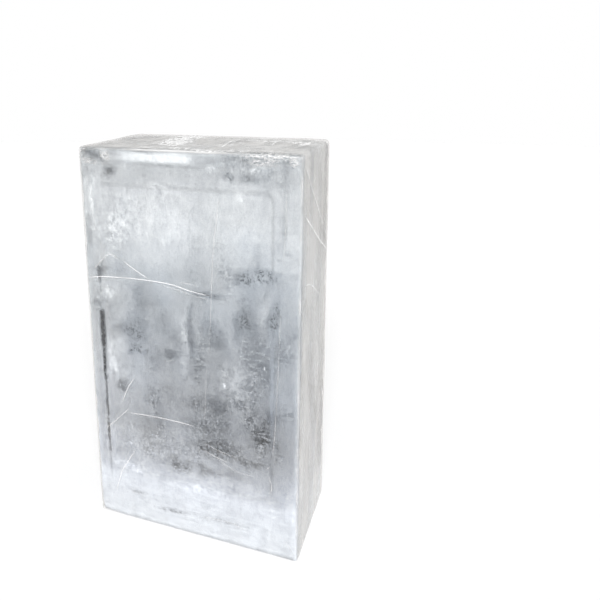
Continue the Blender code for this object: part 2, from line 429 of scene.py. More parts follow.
def along(stops, place):
    """The value at a place between (place, value) stops."""
    for (low, first), (high, second) in zip(stops, stops[1:]):
        if place <= high:
            return mix(first, second, smooth(low, high, place))
    return stops[-1][1]


def out_of_square(point):
    """Moves a point of the true box to where the leaning, winding block has it."""
    across = point.x / (WIDTH / 2)
    back = 0.5 + point.y / DEPTH
    up = point.z / HEIGHT
    lean = mix(LEAN_RIGHT_AT_FRONT, LEAN_RIGHT_AT_BACK, back) if across > 0.0 else LEAN_LEFT
    front = -DEPTH / 2 + FRONT_WINDS_BACK * mix((1.0 - across) / 2, 0.5, up)
    top = HEIGHT - TOP_FALLS_TO_FRONT * (1.0 - back) - TOP_FALLS_TO_RIGHT * (1.0 + across) / 2
    return Vector((across * (WIDTH / 2 - lean * up), mix(front, DEPTH / 2, back), up * top))


def edge_radius(point, follow):
    """The radius of the edge nearest to a point of the box, with a share of the corners' melt."""
    extra = 0.0
    for side, face, top, radius in MELTED_CORNERS:
        corner = Vector((side * WIDTH / 2, face * DEPTH / 2, top * HEIGHT))
        extra += radius * (1.0 - smooth(0.0, MELT_REACH, (point - corner).length))
    return mix(FOOT_RADIUS, EDGE_RADIUS, smooth(0.0, FOOT_REACH, point.z)) + follow * extra


def rounded(point, radius, lowest):
    """A box point with its edges rounded above the lowest core height, and the way out there."""
    core = Vector((
        min(max(point.x, radius - WIDTH / 2), WIDTH / 2 - radius),
        min(max(point.y, radius - DEPTH / 2), DEPTH / 2 - radius),
        min(max(point.z, lowest), HEIGHT - radius),
    ))
    outward = (point - core).normalized()
    return core + outward * radius, outward


def dish(point):
    """How deep the dished front is below its rim, at a point of the front."""
    middle = Vector(((DISH_LEFT + DISH_RIGHT) / 2, 0.0, (DISH_FOOT + DISH_TOP) / 2))
    beyond_x = abs(point.x - middle.x) - (DISH_RIGHT - DISH_LEFT) / 2 + DISH_CORNER
    beyond_z = abs(point.z - middle.z) - (DISH_TOP - DISH_FOOT) / 2 + DISH_CORNER
    round_part = math.hypot(max(beyond_x, 0.0), max(beyond_z, 0.0))
    inside = DISH_CORNER - round_part - min(max(beyond_x, beyond_z), 0.0)
    return DISH_DEPTH * smooth(0.0, DISH_WALL, inside)


def near_edge(point):
    """1 on an edge of the box, falling to 0 a lump's reach away from it."""
    to_faces = sorted((
        WIDTH / 2 - abs(point.x),
        DEPTH / 2 - abs(point.y),
        min(point.z, HEIGHT - point.z),
    ))
    return 1.0 - smooth(0.0, LUMP_REACH, to_faces[1])


def ice_loss(point):
    """How far the ice's surface lies inside the box at a point, from melting and growth."""
    swell = SWELL_DEPTH * (0.5 + 0.5 * noise.noise(point * SWELLS_PER_METRE))
    lump = LUMP_DEPTH * near_edge(point) * max(noise.noise(point * LUMPS_PER_METRE), 0.0)
    loss = (swell + lump) * smooth(0.0, FLAT_ABOVE_FOOT, point.z)
    if point.y < ON_FACE - DEPTH / 2:
        loss += dish(point)
    return loss


def ice_point(point):
    surface, outward = rounded(point, edge_radius(point, 1.0), edge_radius(point, 1.0))
    return out_of_square(surface - outward * ice_loss(point))


def film_point(point, raised=0.0):
    """The film's outer surface: straight down its sides to the hem, and crumpled on its top."""
    surface, outward = rounded(point, edge_radius(point, FILM_FOLLOWS_MELT), 0.0)
    slack = SLACK_DEPTH * (0.5 + 0.5 * noise.noise(point * SLACKS_PER_METRE))
    crumple = CRUMPLE_HEIGHT * (0.5 + 0.5 * noise.noise(point * CRUMPLES_PER_METRE))
    on_top = smooth(HEIGHT - EDGE_RADIUS * 2, HEIGHT, point.z)
    proud = FILM_GAP + FILM_THICKNESS + min(slack + raised, SLACK_DEPTH) + crumple * on_top
    return out_of_square(surface + outward * proud)


def evenly(low, high, cell):
    """Lines from low up to, but not on, high, no further apart than a cell."""
    count = max(math.ceil((high - low) / cell - SAME_PLACE), 1)
    return [mix(low, high, step / count) for step in range(count)]


def edge_lines(radius):
    """Distances from a box's face at which lines divide half of its rounded edge evenly."""
    turns = [math.pi / 4 * step / EDGE_STEPS for step in range(EDGE_STEPS + 1)]
    return [radius - radius * math.tan(turn) for turn in reversed(turns)]


def lines(low, high, cell):
    """Grid lines from low to high, fine round both edges."""
    near = [low + distance for distance in edge_lines(EDGE_RADIUS)]
    far = [high - distance for distance in reversed(edge_lines(EDGE_RADIUS))]
    return near[:-1] + evenly(near[-1], far[0], cell) + far


def add_object(name, data):
    thing = bpy.data.objects.new(name, data)
    bpy.context.scene.collection.objects.link(thing)
    return thing


def add_values(mesh, name, values):
    """Stores one number for each vertex, for a material to read."""
    layer = mesh.attributes.new(name, "FLOAT", "POINT")
    layer.data.foreach_set("value", values)


# ---------------------------------------------------------------- frost


def mark_strength(mark, across, up):
    """How much of a mark a place has: all of it in the middle, none well outside."""
    middle_across, middle_up, half_width, half_height, tilt, change = mark
    turn = math.radians(tilt)
    aside = across - middle_across
    above = up - middle_up
    reach = math.hypot(
        (aside * math.cos(turn) + above * math.sin(turn)) / half_width,
        (above * math.cos(turn) - aside * math.sin(turn)) / half_height,
    )
    return change * (1.0 - smooth(MARK_CORE, MARK_END, reach))


def soft_area(edges, across, up):
    """How much of an area a place has: all of it inside its soft edges, none outside."""
    share = 1.0
    for edge, place in zip(edges, (across, across, up, up)):
        if edge:
            share *= smooth(*edge, place)
    return share


def areas_at(areas, across, up):
    return sum(change * soft_area(edges, across, up) for change, edges in areas)


def stretched_noise(point, per_metre, shift=0.0):
    along_x, along_y, along_z = per_metre
    return noise.noise(Vector((point.x * along_x, point.y * along_y + shift, point.z * along_z)))


def painted_slit_shade_at(point):
    """The dark line by the dish's left wall: painted shade on the clear ice, for the block's shaded
    inside seen there.
    """
    if point.y > ON_FACE - DEPTH / 2:
        return 0.0
    wander = SLIT_WANDER * noise.noise(point * SLIT_WANDERS_PER_METRE)
    aside = abs(point.x - SLIT_ACROSS - wander)
    darkest = 0.0
    for low, high, half_width, dark in PAINTED_SLIT_SHADE:
        ends = smooth(low, low + SLIT_ENDS, point.z) * (1.0 - smooth(high - SLIT_ENDS, high, point.z))
        darkest = max(darkest, dark * ends * (1.0 - smooth(SLIT_CORE, SLIT_EDGE, aside / half_width)))
    return darkest


def front_white(point):
    waver = FRONT_WAVER * noise.noise(point * FRONT_WAVERS_PER_METRE)
    white = along(WHITE_UP_THE_FRONT, point.z + waver) + areas_at(FRONT_AREAS, point.x, point.z)
    reach = math.hypot(
        (point.x - GLOW_MIDDLE[0]) / GLOW_REACH[0],
        (point.z - GLOW_MIDDLE[1]) / GLOW_REACH[1],
    )
    return white + GLOW_WHITE * (1.0 - smooth(GLOW_CORE, 1.0, reach))


def brushed(point):
    """How strongly the frost is brushed sideways: below the dish, and along the top of the front."""
    on_front = 1.0 - smooth(0.0, EDGE_BLEND, point.y + DEPTH / 2)
    return on_front * max(soft_area(edges, point.x, point.z) for edges in BRUSHED_AREAS)


def front_marks_and_painted_shade(point):
    """The front's marks at a point. Small ones are warped less, so that they hold together."""
    total = 0.0
    warp = noise.noise_vector(point * WARPS_PER_METRE) * MARK_WARP
    warp += noise.noise_vector(point * SMALL_WARPS_PER_METRE) * SMALL_WARP
    for mark in FRONT_MARKS_AND_PAINTED_SHADE:
        across, up, half_width, half_height, *_ = mark
        beside = abs(point.x - across) < MARK_SEARCH * half_width + MARK_SEARCH_MARGIN
        level = abs(point.z - up) < MARK_SEARCH * half_height + MARK_SEARCH_MARGIN
        if beside and level:
            share = min(min(half_width, half_height) / MARK_WARP * WARP_OF_SMALL_MARKS, 1.0)
            total += mark_strength(mark, point.x + warp.x * share, point.z + warp.z * share)
    return total


def other_marks_and_painted_shade(point):
    """Light and dark patches on the sides and the back, most of them in the middle of the height. The
    dark ones clear the frost and then paint shade into the clear ice.
    """
    where = Vector([place * per_metre for place, per_metre in zip(point, PATCHES_PER_METRE)])
    light = noise.fractal(where, LIGHT_PATCH_ROUGHNESS, PATCH_LACUNARITY, PATCH_OCTAVES)
    where = where * DARK_PATCH_SCALE + DARK_PATCH_SHIFT
    dark = noise.fractal(where, DARK_PATCH_ROUGHNESS, PATCH_LACUNARITY, PATCH_OCTAVES)
    darkness = DARK_PATCH + DARK_PATCH_IN_MIDDLE * soft_area(DARK_PATCH_MIDDLE, point.x, point.z)
    return (
        LIGHT_PATCH * smooth(LIGHT_PATCH_FROM, LIGHT_PATCH_TO, light)
        + darkness * smooth(DARK_PATCH_FROM, DARK_PATCH_TO, dark)
    )


def marks_and_painted_shade_at(point):
    """How marked the frost is at a point: light where above 0, and dark where below, which clears the
    frost and then paints shade into the clear ice.
    """
    on_front = 1.0 - smooth(0.0, EDGE_BLEND, point.y + DEPTH / 2)
    if on_front == 1.0:
        return front_marks_and_painted_shade(point)
    if on_front == 0.0:
        return other_marks_and_painted_shade(point)
    return mix(other_marks_and_painted_shade(point), front_marks_and_painted_shade(point), on_front)


def back_white(point):
    cloud = stretched_noise(point, BACK_CLOUDS_PER_METRE, BACK_CLOUD_SHIFT)
    front = along(WHITE_UP_THE_FRONT, point.z)
    return BACK_SHARE_OF_FRONT * front + BACK_WHITER + BACK_CLOUD * cloud


def side_white(point):
    streak = stretched_noise(point, SIDE_STREAKS_PER_METRE)
    white = along(WHITE_UP_A_SIDE, point.z) + areas_at(SIDE_AREAS, point.y, point.z)
    return white + SIDE_STREAK * streak


def top_white(point):
    uneven = stretched_noise(point, TOP_UNEVENS_PER_METRE)
    return WHITE_ON_TOP + TOP_UNEVEN * uneven + areas_at(TOP_AREAS, point.x, point.y)


def foot_white(point):
    return WHITE_ON_FOOT


def whiteness(point):
    """How white the ice's surface is at a point of the box, blended round its edges."""
    faces = (
        (point.y + DEPTH / 2, front_white),
        (DEPTH / 2 - point.y, back_white),
        (WIDTH / 2 - abs(point.x), side_white),
        (HEIGHT - point.z, top_white),
        (point.z, foot_white),
    )
    total = 0.0
    shares = 0.0
    for away, white in faces:
        share = 1.0 - smooth(0.0, EDGE_BLEND, away)
        if share > 0.0:
            total += share * white(point)
            shares += share
    return total / shares + WHITE_ON_EDGES * near_edge(point) ** EDGE_WHITE_POWER


def box_skin(name, grid, place):
    """A mesh over the box's surface with a vertex at each crossing of the grid's lines."""
    shape = bmesh.new()
    made = {}
    crossings = []

    def vertex(index):
        if index not in made:
            crossing = Vector([axis[step] for axis, step in zip(grid, index)])
            made[index] = shape.verts.new(place(crossing))
            crossings.append(crossing)
        return made[index]

    last = [len(axis) - 1 for axis in grid]
    for flat, first, second in ((0, 1, 2), (1, 2, 0), (2, 0, 1)):
        for end in (0, last[flat]):
            for one in range(last[first]):
                for two in range(last[second]):
                    corners = []
                    for step_one, step_two in ((0, 0), (1, 0), (1, 1), (0, 1)):
                        index = [end, end, end]
                        index[first] = one + step_one
                        index[second] = two + step_two
                        corners.append(vertex(tuple(index)))
                    shape.faces.new(corners if end else reversed(corners))
    mesh = bpy.data.meshes.new(name)
    shape.to_mesh(mesh)
    shape.free()
    mesh.shade_smooth()
    return mesh, crossings


# ---------------------------------------------------------------- the film's mesh


def smooth_line(places):
    """Points a crease's step apart on a smooth curve through a few places."""
    known = [Vector(place) for place in places]
    known = [2 * known[0] - known[1], *known, 2 * known[-1] - known[-2]]
    points = []
    for before, start, end, after in zip(known, known[1:], known[2:], known[3:]):
        count = max(round((end - start).length / CREASE_STEP), 1)
        for step in range(count):
            part = step / count
            points.append(0.5 * (
                2 * start
                + (end - before) * part
                + (2 * before - 5 * start + 4 * end - after) * part ** 2
                + (3 * start - before - 3 * end + after) * part ** 3
            ))
    return points + [known[-2]]


def side_rows(line, distance):
    """The points of a line moved sideways by a distance."""
    moved = []
    for number, point in enumerate(line):
        before = line[max(number - 1, 0)]
        after = line[min(number + 1, len(line) - 1)]
        ahead = (after - before).normalized()
        moved.append(point + Vector((-ahead.y, ahead.x)) * distance)
    return moved


def crease_heights(places, creases, half_width):
    """For each place, how far up a crease's crest it is, from 0 to 1."""
    heights = np.zeros(len(places))
    for strength, *crease_and_painted_highlight in creases:
        line = np.array(smooth_line(crease_and_painted_highlight))
        starts = line[:-1]
        runs = line[1:] - starts
        lengths = np.hypot(runs[:, 0], runs[:, 1])
        travelled = np.concatenate(([0.0], np.cumsum(lengths)))
        nearest = np.full(len(places), FAR_AWAY)
        travel = np.zeros(len(places))
        for start, run, length, behind in zip(starts, runs, lengths, travelled):
            part = np.clip(((places - start) @ run) / length ** 2, 0.0, 1.0)
            gap = np.linalg.norm(places - start - part[:, None] * run, axis=1)
            closer = gap < nearest
            nearest = np.where(closer, gap, nearest)
            travel = np.where(closer, behind + part * length, travel)
        fade = np.clip(np.minimum(travel, travelled[-1] - travel) / CREASE_FADE, 0.0, 1.0)
        height = strength * np.clip(1.0 - nearest / half_width, 0.0, 1.0) * fade
        heights = np.maximum(heights, height)
    return heights


def face_places(first_lines, second_lines, cell):
    """Places over a flat face: its grid lines' crossings round the rim, and even cells inside."""
    places = []
    low = Vector((first_lines[0], second_lines[0])) + Vector((EDGE_RADIUS, EDGE_RADIUS))
    high = Vector((first_lines[-1], second_lines[-1])) - Vector((EDGE_RADIUS, EDGE_RADIUS))
    for first in first_lines:
        for second in second_lines:
            inside = min(first - low.x, high.x - first, second - low.y, high.y - second)
            if inside < ON_FACE:
                places.append((first, second))
    for first in evenly(low.x, high.x, cell)[1:]:
        for second in evenly(low.y, high.y, cell)[1:]:
            places.append((first, second))
    return np.array(places)


def creased_face(first_lines, second_lines, cell, creases, half_width):
    """Triangles over a flat face: its places, less what is near a crease, and the creases' rows."""
    rows = []
    for _, *crease_and_painted_highlight in creases:
        line = smooth_line(crease_and_painted_highlight)
        rows.extend(side_rows(line, share * half_width) for share in CREASE_ROWS)
    grid = face_places(first_lines, second_lines, cell)
    inside = (
        (grid[:, 0] > first_lines[0]) & (grid[:, 0] < first_lines[-1])
        & (grid[:, 1] > second_lines[0]) & (grid[:, 1] < second_lines[-1])
    )
    keep = np.ones(len(grid), dtype=bool)
    for row in rows:
        for point in row:
            gap = np.hypot(grid[:, 0] - point.x, grid[:, 1] - point.y)
            keep &= (gap > half_width + CREASE_CLEARANCE) | ~inside
    points = [Vector(place) for place in grid[keep]]
    edges = []
    for row in rows:
        first = len(points)
        points.extend(row)
        edges.extend((first + step, first + step + 1) for step in range(len(row) - 1))
    found, _, triangles, *_ = geometry.delaunay_2d_cdt(points, edges, [], 0, SAME_PLACE)
    places = np.array([tuple(point) for point in found])
    return places, triangles, crease_heights(places, creases, half_width)


def crinkles_and_painted_glints_at(point):
    """How crinkly the film is: gathered over the top, and at the ends of the top's front edge. This
    sets both the crinkles' folds and their painted glints.
    """
    on_top = smooth(HEIGHT - EDGE_RADIUS, HEIGHT, point.z)
    at_front = 1.0 - smooth(0.0, CRINKLED_BEHIND_FRONT, point.y + DEPTH / 2)
    total = CRINKLED_TOP * on_top
    if on_top > 0.0:
        warp = Vector()
        for per_metre, size in CRINKLE_WARPS:
            warp += noise.noise_vector(point * per_metre) * size
        total += on_top * sum(
            mark_strength(mark, point.x + warp.x, point.y + warp.y) for mark in TOP_CRINKLES_AND_PAINTED_GLINTS)
    if at_front > 0.0:
        total += at_front * sum(mark_strength(mark, point.x, point.z) for mark in FRONT_CRINKLES_AND_PAINTED_GLINTS)
    return min(total, CRINKLED_MOST)


def film_haze_and_painted_highlight(point):
    """How milky the film is: white along the edges that its folds are gathered on, partly as painted
    highlight lines along them.
    """
    at_front = 1.0 - smooth(0.0, HAZE_REACH, point.y + DEPTH / 2)
    at_top = 1.0 - smooth(0.0, HAZE_REACH, HEIGHT - point.z)
    at_right = 1.0 - smooth(0.0, HAZE_REACH_SIDEWAYS, WIDTH / 2 - point.x)
    at_left = 1.0 - smooth(0.0, HAZE_REACH_SIDEWAYS, WIDTH / 2 + point.x)
    lumps = 0.5 + 0.5 * noise.noise(point * HAZE_LUMPS_PER_METRE)
    return at_front * max(
        HAZE_AT_TOP * at_top * soft_area(HAZE_TOP_ENDS, point.x, point.z),
        HAZE_AT_RIGHT * at_right * lumps * smooth(*HAZE_RIGHT_FOOT, point.z),
        HAZE_AT_LEFT * at_left,
    )


def film_skin(name, grid):
    """The film's mesh, from a creased sheet for each wall and for the top."""
    across_lines, back_lines, up_lines = grid
    shape = bmesh.new()
    # The crease, haze and crinkle values also paint the film's highlights, sheen and glints.
    layers = [shape.verts.layers.float.new(value) for value in ("crease_and_painted_highlight", "haze_and_painted_sheen", "crinkle_and_painted_glint")]
    walls = (
        ((across_lines, up_lines, FILM_CELL, FRONT_CREASES, CREASE_HALF_WIDTH),
         lambda u, v: Vector((u, -DEPTH / 2, v)), False),
        ((across_lines, up_lines, FILM_CELL, BACK_CREASES, CREASE_HALF_WIDTH),
         lambda u, v: Vector((u, DEPTH / 2, v)), True),
        ((back_lines, up_lines, FILM_CELL, RIGHT_CREASES, SIDE_CREASE_HALF_WIDTH),
         lambda u, v: Vector((WIDTH / 2, u, v)), False),
        ((back_lines, up_lines, FILM_CELL, LEFT_CREASES, CREASE_HALF_WIDTH),
         lambda u, v: Vector((-WIDTH / 2, u, v)), True),
        ((across_lines, back_lines, FILM_TOP_CELL, TOP_CREASES, TOP_CREASE_HALF_WIDTH),
         lambda u, v: Vector((u, v, HEIGHT)), False),
    )
    for face, on_box, flip in walls:
        places, triangles, heights = creased_face(*face)
        corners = []
        for place, height in zip(places, heights):
            point = on_box(*place)
            height *= min(CREASE_MEAN + CREASE_UNEVEN * noise.noise(point * UNEVENS_PER_METRE), 1.0)
            crinkle_and_painted_glint = crinkles_and_painted_glints_at(point)
            ridge = 1.0 - abs(noise.noise(point * CRINKLES_PER_METRE))
            fold = CRINKLE_DEPTH * (ridge ** CRINKLE_SHARPNESS - 1.0)
            raised = height * CREASE_HEIGHT + min(crinkle_and_painted_glint, 1.0) * fold
            corner = shape.verts.new(film_point(point, raised))
            for layer, value in zip(layers, (height, film_haze_and_painted_highlight(point), crinkle_and_painted_glint)):
                corner[layer] = value
            corners.append(corner)
        for triangle in triangles:
            turned = reversed(triangle) if flip else triangle
            shape.faces.new([corners[index] for index in turned])
    bmesh.ops.remove_doubles(shape, verts=shape.verts, dist=WELD_DISTANCE)
    mesh = bpy.data.meshes.new(name)
    shape.to_mesh(mesh)
    shape.free()
    mesh.shade_smooth()
    return mesh


# ---------------------------------------------------------------- materials


NOISE_SPREAD = 4.0


class Nodes:
    """Short ways to add and link a material's nodes."""

    def __init__(self, material):
        material.use_nodes = True
        self.tree = material.node_tree
        self.shader = self.tree.nodes["Principled BSDF"]
        self.output = self.tree.nodes["Material Output"]

    def add(self, kind, **settings):
        node = self.tree.nodes.new(kind)
        for name, value in settings.items():
            setattr(node, name, value)
        return node

    def link(self, start, end):
        self.tree.links.new(start, end)

    def feed(self, node, number, value):
        """Sets an input to a number or colour, or links it to another node's output."""
        if isinstance(value, bpy.types.NodeSocket):
            self.link(value, node.inputs[number])
        else:
            node.inputs[number].default_value = value

    def math(self, operation, *values, clamp=False):
        node = self.add("ShaderNodeMath", operation=operation, use_clamp=clamp)
        for number, value in enumerate(values):
            self.feed(node, number, value)
        return node.outputs[0]

    def value(self, name):
        return self.add("ShaderNodeAttribute", attribute_name=name).outputs["Fac"]

    def plus(self, start, share, *values, clamp=False):
        """A start with a share of the product of some values added to it."""
        product = values[0]
        for value in values[1:]:
            product = self.math("MULTIPLY", product, value)
        return self.math("MULTIPLY_ADD", product, share, start, clamp=clamp)

    def between(self, value, lowest, highest):
        return self.math("MINIMUM", self.math("MAXIMUM", value, lowest), highest)

    def height(self):
        parts = self.add("ShaderNodeSeparateXYZ")
        self.link(self.add("ShaderNodeTexCoord").outputs["Object"], parts.inputs[0])
        return parts.outputs["Z"]

    def noise(self, stretch, detail, roughness, shift):
        """Noise from about -1 to 1, with so many features a metre along each axis."""
        where = self.add("ShaderNodeTexCoord").outputs["Object"]
        mapping = self.add("ShaderNodeMapping")
        self.link(where, mapping.inputs["Vector"])
        mapping.inputs["Scale"].default_value = stretch
        mapping.inputs["Location"].default_value = (shift, shift, shift)
        texture = self.add("ShaderNodeTexNoise")
        texture.inputs["Scale"].default_value = 1.0
        texture.inputs["Detail"].default_value = detail
        texture.inputs["Roughness"].default_value = roughness
        self.link(mapping.outputs["Vector"], texture.inputs["Vector"])
        return self.plus(-NOISE_SPREAD / 2, NOISE_SPREAD, texture.outputs["Fac"])

    def blend(self, part, first, second):
        node = self.add("ShaderNodeMix", data_type="RGBA")
        self.feed(node, 0, part)
        self.feed(node, 6, first)
        self.feed(node, 7, second)
        return node.outputs[2]

    def bump(self, height, distance, strength=1.0):
        node = self.add("ShaderNodeBump")
        node.inputs["Strength"].default_value = strength
        node.inputs["Distance"].default_value = distance
        self.link(height, node.inputs["Height"])
        return node.outputs["Normal"]


ICE_IOR = 1.31
ICE_CLEAR_ROUGHNESS = 0.29
ICE_FROST_ROUGHNESS = 0.25
ICE_DEPTH_COLOUR = (0.79, 0.84, 0.90, 1.0)
ICE_DEPTH_DENSITY = 4.5
ICE_BUMP = 0.0006
STREAKS_IN_BUMP = 0.6
ICE_NOISES = {
    # features a metre along each axis, detail, roughness, shift
    "streaks": ((38.0, 38.0, 11.0), 7.0, 0.70, 0.0),
    "feathers": ((95.0, 95.0, 70.0), 6.0, 0.72, 12.0),
    "curls": ((95.0, 95.0, 85.0), 3.0, 0.60, 15.0),
    "clouds": ((9.0, 9.0, 6.0), 3.0, 0.55, 4.0),
    "grain": ((330.0, 330.0, 290.0), 3.0, 0.70, 9.0),
    "blotches": ((125.0, 125.0, 100.0), 7.0, 0.75, 2.0),
    "specks": ((230.0, 230.0, 200.0), 3.0, 0.65, 8.0),
    "ripples": ((26.0, 26.0, 240.0), 4.0, 0.60, 6.0),
    "patches": ((18.0, 18.0, 12.0), 3.0, 0.55, 11.0),
    "brush": ((20.0, 20.0, 190.0), 6.0, 0.65, 3.0),
}
CURL_THINNESS = 2.6
STREAKS_IN_STROKES = 0.7
STROKES_LESS_IF_CLEAR = 0.55
GRAIN_LESS_IF_BRUSHED = 0.65

# Clearness falls with whiteness, from this start and by this much.
CLEAR_START = 1.4
CLEAR_FALL = 1.8

# Dark marks, which clear the frost and then paint shade, are speckled and light ones feathery, about
# an even strength.
DARK_MARK_EVEN = 0.95
DARK_MARK_BLOTCHES = 1.4
DARK_MARK_SPECKS = 1.2
DARK_MARK_MOST = 2.6
LIGHT_MARK_EVEN = 0.7
LIGHT_MARK_FEATHERS = 1.7
SLIT_BLOTCHES = 1.5

# How much each noise adds to the whiteness: brushed, in patches of the clear ice, and everywhere.
BRUSH_IN_WHITE = 0.11
PATCHES_WIDER = 0.10
PATCHY_IN_WHITE = (("specks", 0.22), ("blotches", 0.24), ("ripples", 0.26), ("curls", -0.30))
ALL_IN_WHITE = (("strokes", 0.10), ("clouds", 0.05), ("grain", 0.075))
FROST_MOST = 0.92
# How fast the painted shade darkens the clear ice as its whiteness falls below 0.
SHADE_GAIN = 1.6

# How much each noise adds to the frost's brightness, from dull at 0 to bright at 1.
BRIGHT_EVEN = 0.5
BRUSH_IN_BRIGHT = 0.09
STROKES_IN_BRIGHT = 0.34
STROKES_LESS_BRIGHT_IF_BRUSHED = 0.26
ALL_IN_BRIGHT = (("grain", 0.36), ("specks", 0.10))

# The frost's colours, with the bluer ones low on the block, and less of them at its very foot.
FROST_DULL = (0.545, 0.575, 0.605, 1.0)
FROST_BRIGHT = (0.815, 0.84, 0.850, 1.0)
LOW_FROST_DULL = (0.506, 0.557, 0.668, 1.0)
LOW_FROST_BRIGHT = (0.812, 0.840, 0.866, 1.0)
LOW_START = 1.35
LOW_FALL = 2.4
FOOT_START = 0.45
FOOT_RISE = 3.0
# Painted shade: the colour that the clear ice is darkened towards below 0 whiteness.
SHADE_COLOUR = (0.05, 0.055, 0.065, 1.0)


def ice_material():
    material = bpy.data.materials.new("clear_ice")
    nodes = Nodes(material)
    shader = nodes.shader
    kinds = {name: nodes.noise(*settings) for name, settings in ICE_NOISES.items()}
    in_brushed = nodes.value("brushed")
    marks_and_painted_shade = nodes.value("marks_and_painted_shade")
    white = nodes.value("whiteness")
    clear = nodes.plus(CLEAR_START, -CLEAR_FALL, white, clamp=True)

    curls = nodes.math("ABSOLUTE", kinds["curls"])
    kinds["curls"] = nodes.plus(1.0, -CURL_THINNESS, curls, clamp=True)
    fine = nodes.plus(1.0, -GRAIN_LESS_IF_BRUSHED, in_brushed)
    kinds["grain"] = nodes.math("MULTIPLY", kinds["grain"], fine)
    strokes = nodes.plus(kinds["feathers"], STREAKS_IN_STROKES, kinds["streaks"])
    large = nodes.plus(1.0, -STROKES_LESS_IF_CLEAR, clear)
    kinds["strokes"] = nodes.math("MULTIPLY", strokes, large)

    speckled = nodes.plus(DARK_MARK_EVEN, DARK_MARK_SPECKS, kinds["specks"])
    speckled = nodes.plus(speckled, DARK_MARK_BLOTCHES, kinds["blotches"])
    speckled = nodes.between(speckled, 0.0, DARK_MARK_MOST)
    feathery = nodes.plus(LIGHT_MARK_EVEN, LIGHT_MARK_FEATHERS, kinds["feathers"])
    feathery = nodes.math("MAXIMUM", feathery, 0.0)
    # Dark marks take the whiteness down, and below 0 into painted shade; light ones add frost.
    white = nodes.math("MULTIPLY_ADD", nodes.math("MINIMUM", marks_and_painted_shade, 0.0), speckled, white)
    white = nodes.math("MULTIPLY_ADD", nodes.math("MAXIMUM", marks_and_painted_shade, 0.0), feathery, white)
    white = nodes.plus(white, BRUSH_IN_WHITE, in_brushed, kinds["brush"])
    patchy = nodes.math("MAXIMUM", nodes.math("ADD", kinds["patches"], PATCHES_WIDER), 0.0)
    patchy = nodes.math("MULTIPLY", patchy, clear)
    for name, share in PATCHY_IN_WHITE:
        white = nodes.plus(white, share, patchy, kinds[name])
    for name, share in ALL_IN_WHITE:
        white = nodes.plus(white, share, kinds[name])
    # The painted slit shade takes the whiteness down into painted shade.
    blotted = nodes.plus(1.0, SLIT_BLOTCHES, kinds["blotches"])
    white = nodes.math("SUBTRACT", white, nodes.math("MULTIPLY", nodes.value("painted_slit_shade"), blotted))
    frost = nodes.between(white, 0.0, FROST_MOST)
    nodes.link(nodes.math("SUBTRACT", 1.0, frost), shader.inputs["Transmission Weight"])

    bright = nodes.plus(BRIGHT_EVEN, BRUSH_IN_BRIGHT, in_brushed, kinds["brush"])
    share = nodes.plus(STROKES_IN_BRIGHT, -STROKES_LESS_BRIGHT_IF_BRUSHED, in_brushed)
    bright = nodes.math("MULTIPLY_ADD", kinds["strokes"], share, bright)
    for name, share in ALL_IN_BRIGHT:
        bright = nodes.plus(bright, share, kinds[name])
    bright = nodes.between(bright, 0.0, 1.0)
    height = nodes.height()
    low = nodes.plus(LOW_START, -LOW_FALL, height, clamp=True)
    low = nodes.math("MULTIPLY", low, nodes.plus(FOOT_START, FOOT_RISE, height, clamp=True))
    dull_colour = nodes.blend(low, FROST_DULL, LOW_FROST_DULL)
    bright_colour = nodes.blend(low, FROST_BRIGHT, LOW_FROST_BRIGHT)
    colour = nodes.blend(bright, dull_colour, bright_colour)
    # Painted shade: below 0 whiteness the ice's colour, which also tints the see-through ice, is
    # darkened.
    shade = nodes.math("MULTIPLY", white, -SHADE_GAIN, clamp=True)
    nodes.link(nodes.blend(shade, colour, SHADE_COLOUR), shader.inputs["Base Color"])

    rough = nodes.plus(ICE_CLEAR_ROUGHNESS, ICE_FROST_ROUGHNESS, frost)
    nodes.link(rough, shader.inputs["Roughness"])
    ripple = nodes.plus(kinds["clouds"], STREAKS_IN_BUMP, kinds["streaks"])
    nodes.link(nodes.bump(ripple, ICE_BUMP), shader.inputs["Normal"])
    shader.inputs["IOR"].default_value = ICE_IOR
    absorb = nodes.add("ShaderNodeVolumeAbsorption")
    absorb.inputs["Color"].default_value = ICE_DEPTH_COLOUR
    absorb.inputs["Density"].default_value = ICE_DEPTH_DENSITY
    nodes.link(absorb.outputs["Volume"], nodes.output.inputs["Volume"])
    return material


# The film's haze colour; its warm tint is a painted reflection of warm surroundings.
FILM_COLOUR_AND_PAINTED_REFLECTION = (0.560, 0.541, 0.517, 1.0)
# The white of creases, crinkles and edge lines: milkier folded film and painted highlights.
CREASE_AND_PAINTED_HIGHLIGHT_COLOUR = (1.0, 1.0, 1.0, 1.0)
FILM_ROUGHNESS = 0.20
FILM_NOISES = {
    # features a metre along each axis, detail, roughness, shift
    "streaks": ((90.0, 90.0, 3.0), 3.0, 0.55, 0.0),
    "mottle": ((30.0, 18.0, 5.0), 4.0, 0.60, 5.0),
    "folds": ((72.0, 34.0, 230.0), 4.0, 0.60, 7.0),
}
FILM_HAZE = 0.04
# More haze as the film is seen from the side: partly its milkiness, partly a painted sheen.
FILM_SIDEWAYS_HAZE_AND_PAINTED_SHEEN = 0.85
FILM_SIDEWAYS_POWER = 2.0
MOTTLE_IN_HAZE = 0.36
STREAKS_IN_HAZE = 0.10
# How white the crinkles' folds are painted, as painted glints of crumpled film.
CRINKLE_HAZE_AND_PAINTED_GLINT = 1.2
FOLD_SHARPNESS = 3.2
ALPHA_LEAST = 0.01
CRINKLE_BUMP = 3.0
FILM_BUMP = 0.0003


